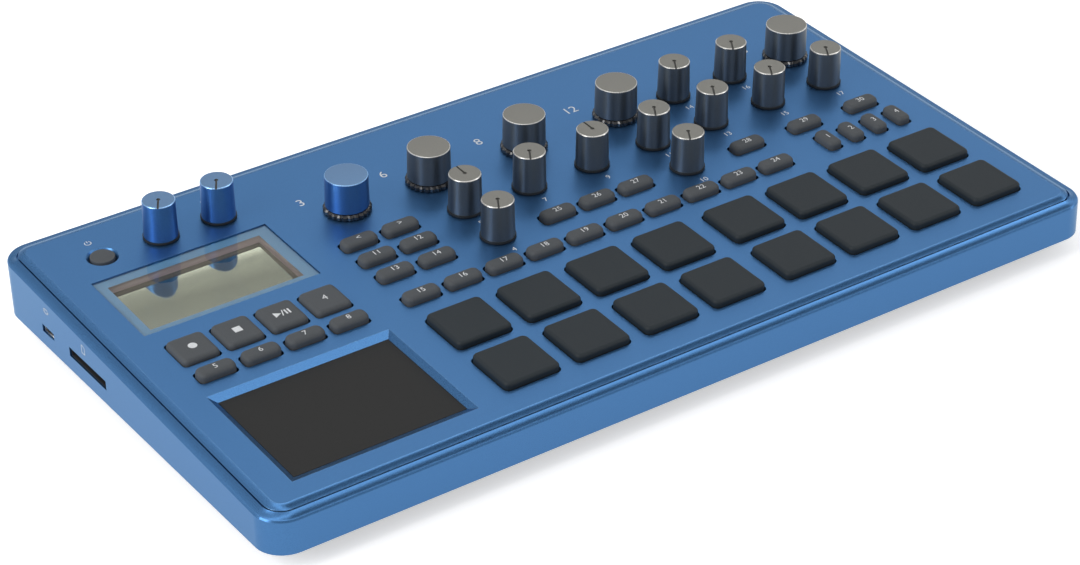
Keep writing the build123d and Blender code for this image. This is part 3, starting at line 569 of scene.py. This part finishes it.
def catches_light(spot):
    """Whether a rounded edge is one of the rim, the touch pad or the window, not of a key's opening: such
    edges get the lighter blue of a painted highlight.
    """
    by_rim = abs(spot.x) > rim_start.x or abs(spot.y) > rim_start.y
    by_touch_pad = -154 < spot.x < -82 and spot.y < -24
    by_window = -153 < spot.x < -82 and 24 < spot.y < 68
    return spot.z > -2.3 and (by_rim or by_touch_pad or by_window)


for node, width in edge_rounding.items():
    shape = whole_copy(node)
    sink_touch(shape)
    # The rounded edges picked here are coloured a lighter blue, a painted highlight.
    painted_highlight_faces = [face for face in soften(shape, width) if catches_light(face.calc_center_median())]
    bend_band(shape, *edge_bands[node])
    if node == "case_frame":
        lower_rim(shape, *edge_bands[node][:2])
    shape.normal_update()
    for face in shape.faces:
        face.material_index = int(abs(face.normal.z) < flat_enough)
    for face in painted_highlight_faces:
        if face.is_valid:
            face.material_index = 2
    paints = [blue_paint, blue_edge, blue_painted_highlight]
    piece(place_on_panel(shape), node + "_painted", "case", paints, [node])

plain_finishes = {
    "bottom_case": black_moulding, "battery_cover": black_moulding, "rubber_feet": foot_rubber,
    "case_screws": screw_black, "panel_board": board_green,
    "pad_board": board_green, "main_boards": board_green, "potentiometers": plated, "encoders": plated,
    "key_switches": black_moulding, "rear_jacks": black_moulding, "battery_cells": plated,
}
for name, material in plain_finishes.items():
    nodes[name].data.materials.clear()
    nodes[name].data.materials.append(material)

touch = whole_copy("touch_pad")
sink_touch(touch)
piece(place_on_panel(touch), "touch_plate", "case", [touch_film], ["touch_pad"])
print("case pieces done")

# %% [markdown]
# ## Screen and side sockets
# The liquid crystal lies nearly three millimetres under a blue mask on the back of the window, at
# the bottom of a brown moulded collar, so the collar's far walls show as a dim band. Its foil
# backing reflects like dull metal, which is why the knobs behind it are seen in it. The CAD solid has
# no recess: its glass is raised to the mask, inset and pushed down here. The mask is four bars round
# the collar. On the left side, the card slot's lining is black and the other socket is plated.

# %% Screen, window and side sockets
collar_wall = 0.12
collar_top = -0.85
collar_depth = 2.9
screen = whole_copy("display_module")
screen.normal_update()
glass = max(screen.faces, key=lambda face: face.calc_center_median().z)
corners = [vert.co for vert in glass.verts]
bmesh.ops.translate(screen, verts=glass.verts, vec=(0, 0, collar_top - corners[0].z))
opening_low = Vector([min(co[i] for co in corners) for i in range(3)])
opening_high = Vector([max(co[i] for co in corners) for i in range(3)])
bmesh.ops.inset_region(screen, faces=[glass], thickness=collar_wall)
bmesh.ops.translate(screen, verts=glass.verts, vec=(0, 0, -collar_depth))
glass.material_index = 1
screen_finishes = [screen_frame, screen_face]
piece(place_on_panel(screen), "screen_cell", "case", screen_finishes, ["display_module"])

pane = [to_panel @ vert.co for vert in nodes["display_window"].data.vertices]
pane_low = Vector([min(co[i] for co in pane) for i in range(3)])
pane_high = Vector([max(co[i] for co in pane) for i in range(3)])
pane_width = pane_high.x - pane_low.x
mask_bars = []
for near, far in ((pane_low.y, opening_low.y), (opening_high.y, pane_high.y)):
    middle = ((pane_low.x + pane_high.x) / 2, (near + far) / 2, collar_top)
    mask_bars.append(bar(pane_width, far - near, middle))
for near, far in ((pane_low.x, opening_low.x), (opening_high.x, pane_high.x)):
    middle = ((near + far) / 2, (opening_low.y + opening_high.y) / 2, collar_top)
    mask_bars.append(bar(far - near, opening_high.y - opening_low.y, middle))
piece(place_on_panel(joined(mask_bars)), "window_mask", "case", [mask_blue])

window = whole_copy("display_window")
soften(window, 0.3, 3)
window.normal_update()
for face in window.faces:
    face.material_index = int(face.normal.z > 0.9)
window_finishes = [window_body, window_face]
piece(place_on_panel(window), "window_plate", "case", window_finishes, ["display_window"])

sockets = whole_copy("side_sockets")
card_socket_end = 45
for face in sockets.faces:
    face.material_index = int(face.calc_center_median().y > card_socket_end)
socket_finishes = [black_moulding, plated]
piece(
    place_on_panel(sockets), "side_sockets_lined", "case", socket_finishes, ["side_sockets"],
)

# %% [markdown]
# ## Pads and keys
# Silicone rubber comes out of its mould with generous rounding. A pad is a square block with a
# short slope round its top, and a key is loaf-shaped. Their places and sizes are read from the CAD
# solids: each cap is a cube whose upright corners are rounded first and its top edges after.


# %% Caps
def cap(box, corner, edge, sink=2.2, steps=5):
    """One cap that fills a box on the panel, with its upright corners and then its top edges rounded."""
    low, high = box
    middle = ((low.x + high.x) / 2, (low.y + high.y) / 2, (high.z - sink) / 2)
    size = (high.x - low.x, high.y - low.y, high.z + sink)
    shape = bmesh.new()
    place = Matrix.Translation(middle) @ Matrix.Diagonal((*size, 1))
    bmesh.ops.create_cube(shape, size=1, matrix=place)
    upright = [e for e in shape.edges if abs(e.verts[0].co.z - e.verts[1].co.z) > sink]
    bmesh.ops.bevel(
        shape, geom=upright, offset=corner, segments=steps + 1, profile=0.5, affect="EDGES", material=-1,
    )
    crown = max(shape.faces, key=lambda face: face.calc_center_median().z)
    bmesh.ops.bevel(
        shape, geom=list(crown.edges), offset=edge, segments=steps, profile=0.5, affect="EDGES", material=-1,
    )
    return shape


pads = [name for name in nodes if name.startswith("pad_") and name != "pad_board"]
for name in pads:
    shape = cap(islands(name)[0], corner=2.3, edge=1.35)
    piece(place_on_panel(shape), name + "_cap", name, [pad_rubber], [name])

key_rounding = {"transport_keys": (2.2, 1.7), "number_keys": (2.4, 1.6)}
keys = {name: islands(name) for name in nodes if name.endswith("_keys")}
for name, boxes in keys.items():
    corner, edge = key_rounding.get(name, (2.5, 1.7))
    shape = joined([cap(box, corner, edge) for box in boxes])
    piece(place_on_panel(shape), name + "_caps", name, [key_rubber], [name])

power_shape = whole_copy("power_button")
soften(power_shape, 0.35, 3)
piece(
    place_on_panel(power_shape), "power_button_cap", "power_button", [key_rubber], ["power_button"],
)
print("pads:", len(pads), "keys:", sum(len(boxes) for boxes in keys.values()))

# %% [markdown]
# ## Knobs
# The knobs are turned aluminium caps: a flat top, a thin bevel round it and a side whose
# fine turning rings stretch every highlight into an upright stripe. The side is coloured darker and
# bluer than the top, as painted shade, and the bevel lighter, as a painted highlight. The stripe
# comes from an anisotropic gloss that follows a direction stored as a UV map, running round the knob's axis.


# %% Knob pieces
def run_around(shape, centre):
    """A UV map whose first coordinate runs round the axis through centre, for the gloss to follow."""
    layer = shape.loops.layers.uv.new("around")
    for face in shape.faces:
        middle = face.calc_center_median() - centre
        start = math.atan2(middle.y, middle.x)
        for loop in face.loops:
            arm = loop.vert.co - centre
            turn = math.atan2(arm.y, arm.x) - start
            turn = (turn + math.pi) % (2 * math.pi) - math.pi
            loop[layer].uv = ((start + turn) / (2 * math.pi), arm.z / 20)


def knob_centre(name):
    """Where a knob's axis meets the panel, in panel millimetres."""
    return to_panel @ Vector(joints[name]["pos_m"])


small_knobs = [name for name in nodes if name.endswith("_knob") and not joints[name].get("continuous")]
large_knobs = [name for name in nodes if name.endswith("_knob") and joints[name].get("continuous")]
blue_knobs = ("volume_knob", "input_knob", "selection_knob")
knob_top = 15.3
knob_ring_top = 1.15
groove_depth = 0.7
groove_end = 5.6
bevel_start = 5.3


def small_knob(name):
    """The CAD knob with softened edges: a dark foot ring, a turned side coloured darker than the top as
    painted shade, a flat top, a bevel coloured lighter as a painted highlight, and a dark pointer.
    """
    shape = whole_copy(name)
    centre = knob_centre(name)
    soften(shape, 0.16, 2)
    shape.normal_update()
    for face in shape.faces:
        middle = face.calc_center_median() - centre
        radius = math.hypot(middle.x, middle.y)
        if middle.z < knob_ring_top:
            face.material_index = 2
        elif radius < groove_end and knob_top - groove_depth < middle.z < knob_top - 0.05:
            face.material_index = 3
        elif 0.15 < face.normal.z < 0.98 and radius > bevel_start:
            face.material_index = 4
        elif face.normal.z > 0.5:
            face.material_index = 1
    run_around(shape, centre)
    blue = name in blue_knobs
    # The side's darker colour is painted shade, and the bevel's lighter colour is a painted highlight.
    finishes = [blue_side_painted_shade, blue_top] if blue else [grey_side_painted_shade, grey_top]
    finishes += [pointer_dark, groove_grey, knob_glint if blue else grey_painted_highlight]
    piece(place_on_panel(shape), name + "_turned", name, finishes, [name])


def spun(profile, centre, steps=72):
    """A profile of (radius, height) points, spun about the axis through centre."""
    shape = bmesh.new()
    verts = [shape.verts.new((r, 0, z)) for r, z in profile]
    edges = [shape.edges.new(pair) for pair in zip(verts, verts[1:])]
    bmesh.ops.spin(
        shape, geom=verts + edges, cent=(0, 0, 0), axis=(0, 0, 1), angle=2 * math.pi, steps=steps,
        use_merge=True,
    )
    bmesh.ops.remove_doubles(shape, verts=shape.verts, dist=0.0001)
    bmesh.ops.recalc_face_normals(shape, faces=shape.faces)
    shape.transform(Matrix.Translation(centre))
    return shape


large_cap_profile = [(0, 14.6), (7.55, 14.6), (7.76, 14.51), (7.85, 14.3), (8.0, 2.75), (7.8, 2.6), (0, 2.6)]
click_ring_profile = [(4, 2.6), (7.4, 2.6), (8.3, 2.35), (8.8, 1.6), (8.8, 0.5), (8.5, 0.3), (4, 0.3)]


def large_knob(name):
    """A turned cap over a gloss black ring, which has a notch at every click. The cap's side is coloured
    darker than its top as painted shade, and its bevel lighter as a painted highlight.
    """
    centre = knob_centre(name)
    body = spun(large_cap_profile, centre)
    for face in body.faces:
        if face.normal.z > 0.15:
            face.material_index = 1 if face.normal.z > 0.98 else 2
    run_around(body, centre)
    blue = name in blue_knobs
    # The side's darker colour is painted shade, and the bevel's lighter colour is a painted highlight.
    finishes = [blue_side_painted_shade, blue_top, knob_glint] if blue else [grey_side_painted_shade, grey_top, grey_painted_highlight]
    piece(place_on_panel(body), name + "_turned", name, finishes, [name])
    ring = spun(click_ring_profile, centre)
    for vert in ring.verts:
        arm = vert.co - centre
        column = round(math.degrees(math.atan2(arm.y, arm.x)) / 5)
        if column % 3 == 0 and math.hypot(arm.x, arm.y) > 8:
            arm.xy *= 0.94
            vert.co = centre + arm
    piece(place_on_panel(ring), name + "_ring", name, [skirt_black], smooth=20)


for name in small_knobs:
    small_knob(name)
for name in large_knobs:
    large_knob(name)
print("small knobs:", len(small_knobs), "large knobs:", len(large_knobs))

# %% [markdown]
# ## Printing
# Every key and knob carries a small white print. Plain numbers stand for it here, beside the usual
# signs for record, stop, play and power, which belong to no maker. A pad print lies flat on its
# surface, so each character is a filled flat mesh a hundredth of a millimetre above it, and it moves
# with the key that it is printed on.


# %% Prints
print_lift = 0.012


def written(text, size, spot):
    """Characters as a flat mesh centred on a spot on the panel."""
    curve = bpy.data.curves.new("print", "FONT")
    curve.body = text
    curve.size = size
    curve.align_x = "CENTER"
    curve.align_y = "CENTER"
    curve.resolution_u = 3
    holder = bpy.data.objects.new("print", curve)
    flat = bpy.data.meshes.new_from_object(holder)
    shape = bmesh.new()
    shape.from_mesh(flat)
    shape.transform(Matrix.Translation(spot))
    bpy.data.objects.remove(holder)
    bpy.data.curves.remove(curve)
    bpy.data.meshes.remove(flat)
    return shape


def disc(radius, spot, corners=32, turn=0.0):
    """A filled flat shape of that many corners, on a spot on the panel."""
    shape = bmesh.new()
    bmesh.ops.create_circle(shape, cap_ends=True, segments=corners, radius=radius)
    shape.transform(Matrix.Translation(spot) @ Matrix.Rotation(math.radians(turn), 4, "Z"))
    return shape


def arc_band(radius, width, start, sweep, spot):
    """A flat band of that width along an arc, from a start angle through a sweep, in degrees."""
    shape = bmesh.new()
    ends = [shape.verts.new((radius + side * width / 2, 0, 0)) for side in (-1, 1)]
    edge = shape.edges.new(ends)
    bmesh.ops.spin(
        shape, geom=ends + [edge], cent=(0, 0, 0), axis=(0, 0, 1), angle=math.radians(sweep), steps=24,
    )
    shape.transform(Matrix.Translation(spot) @ Matrix.Rotation(math.radians(start), 4, "Z"))
    return shape


def on_top(box):
    """The middle of a key's top, just above the surface."""
    low, high = box
    return Vector(((low.x + high.x) / 2, (low.y + high.y) / 2, high.z + print_lift))


def printed(shapes, name, body):
    """Prints as one piece that moves with a body."""
    piece(place_on_panel(joined(shapes)), name, body, [print_white])


record_key, stop_key, play_key, tap_key = [on_top(box) for box in keys["transport_keys"]]
transport_signs = [
    disc(1.6, record_key),
    bar(3.0, 3.0, stop_key),
    disc(1.75, play_key + Vector((-1.9, 0, 0)), corners=3, turn=-90),
    bar(0.4, 3.4, play_key + Vector((0.4, 0, 0)), turn=-18),
    bar(0.65, 2.8, play_key + Vector((1.7, 0, 0))),
    bar(0.65, 2.8, play_key + Vector((2.9, 0, 0))),
    written("4", 4.2, tap_key),
]
printed(transport_signs, "transport_prints", "transport_keys")

key_text = 3.4
number_text = 3.6
first_number = {"touch_keys": 5, "menu_keys": 9, "step_keys": 15, "filter_keys": 25, "effect_keys": 28}
for name, first in first_number.items():
    spots = [on_top(box) for box in keys[name]]
    words = [str(first + i) for i in range(len(spots))]
    if name == "menu_keys":
        words[:2] = ["<", ">"]
    printed([written(w, key_text, spot) for w, spot in zip(words, spots)], name + "_prints", name)
numbers = [written(str(i + 1), number_text, on_top(box)) for i, box in enumerate(keys["number_keys"])]
printed(numbers, "number_prints", "number_keys")

small_label_shift = -10.3
rear_label_shift = 11.4
large_label_shift = 13.1
large_label_side = -11.5
panel_prints = []
knob_names = sorted(small_knobs + large_knobs, key=lambda name: tuple(knob_centre(name).xy))
for number, name in enumerate(knob_names, start=1):
    centre = knob_centre(name)
    if name in large_knobs:
        size, shift = 6.0, (large_label_side, large_label_shift)
    elif name in blue_knobs:
        size, shift = 3.4, (0, rear_label_shift)
    else:
        size, shift = 3.4, (0, small_label_shift)
    panel_prints.append(written(str(number), size, (centre.x + shift[0], centre.y + shift[1], print_lift)))
power_sign = Vector((-141.9, 79.0, print_lift))
panel_prints.append(arc_band(1.15, 0.3, 125, 290, power_sign))
panel_prints.append(bar(0.3, 1.3, power_sign + Vector((0, 0.8, 0))))
printed(panel_prints, "panel_prints", "case")

left_wall = -169.5
side_print_axes = Matrix(((0, 0, -1, left_wall - 0.03), (-1, 0, 0, 0), (0, 1, 0, 0), (0, 0, 0, 1)))
card_outline = [
    bar(0.25, 3.0, (-31.1, 21.6, 0)), bar(0.25, 2.2, (-28.9, 21.2, 0)), bar(2.4, 0.25, (-30.0, 20.1, 0)),
    bar(1.5, 0.25, (-30.4, 23.1, 0)), bar(0.25, 1.25, (-29.25, 22.7, 0), 45),
]
plug_outline = [
    bar(2.2, 0.25, (-57.6, 22.2, 0)), bar(2.2, 0.25, (-57.6, 23.8, 0)), bar(0.25, 1.8, (-58.7, 23, 0)),
    bar(0.25, 1.8, (-56.5, 23, 0)), bar(1.0, 0.25, (-56.0, 23, 0)), bar(0.8, 0.25, (-59.1, 22.6, 0)),
    bar(0.8, 0.25, (-59.1, 23.4, 0)),
]
side_prints = joined(card_outline + plug_outline)
side_prints.transform(Matrix.Scale(MM, 4) @ side_print_axes)
piece(side_prints, "side_prints", "case", [print_white])
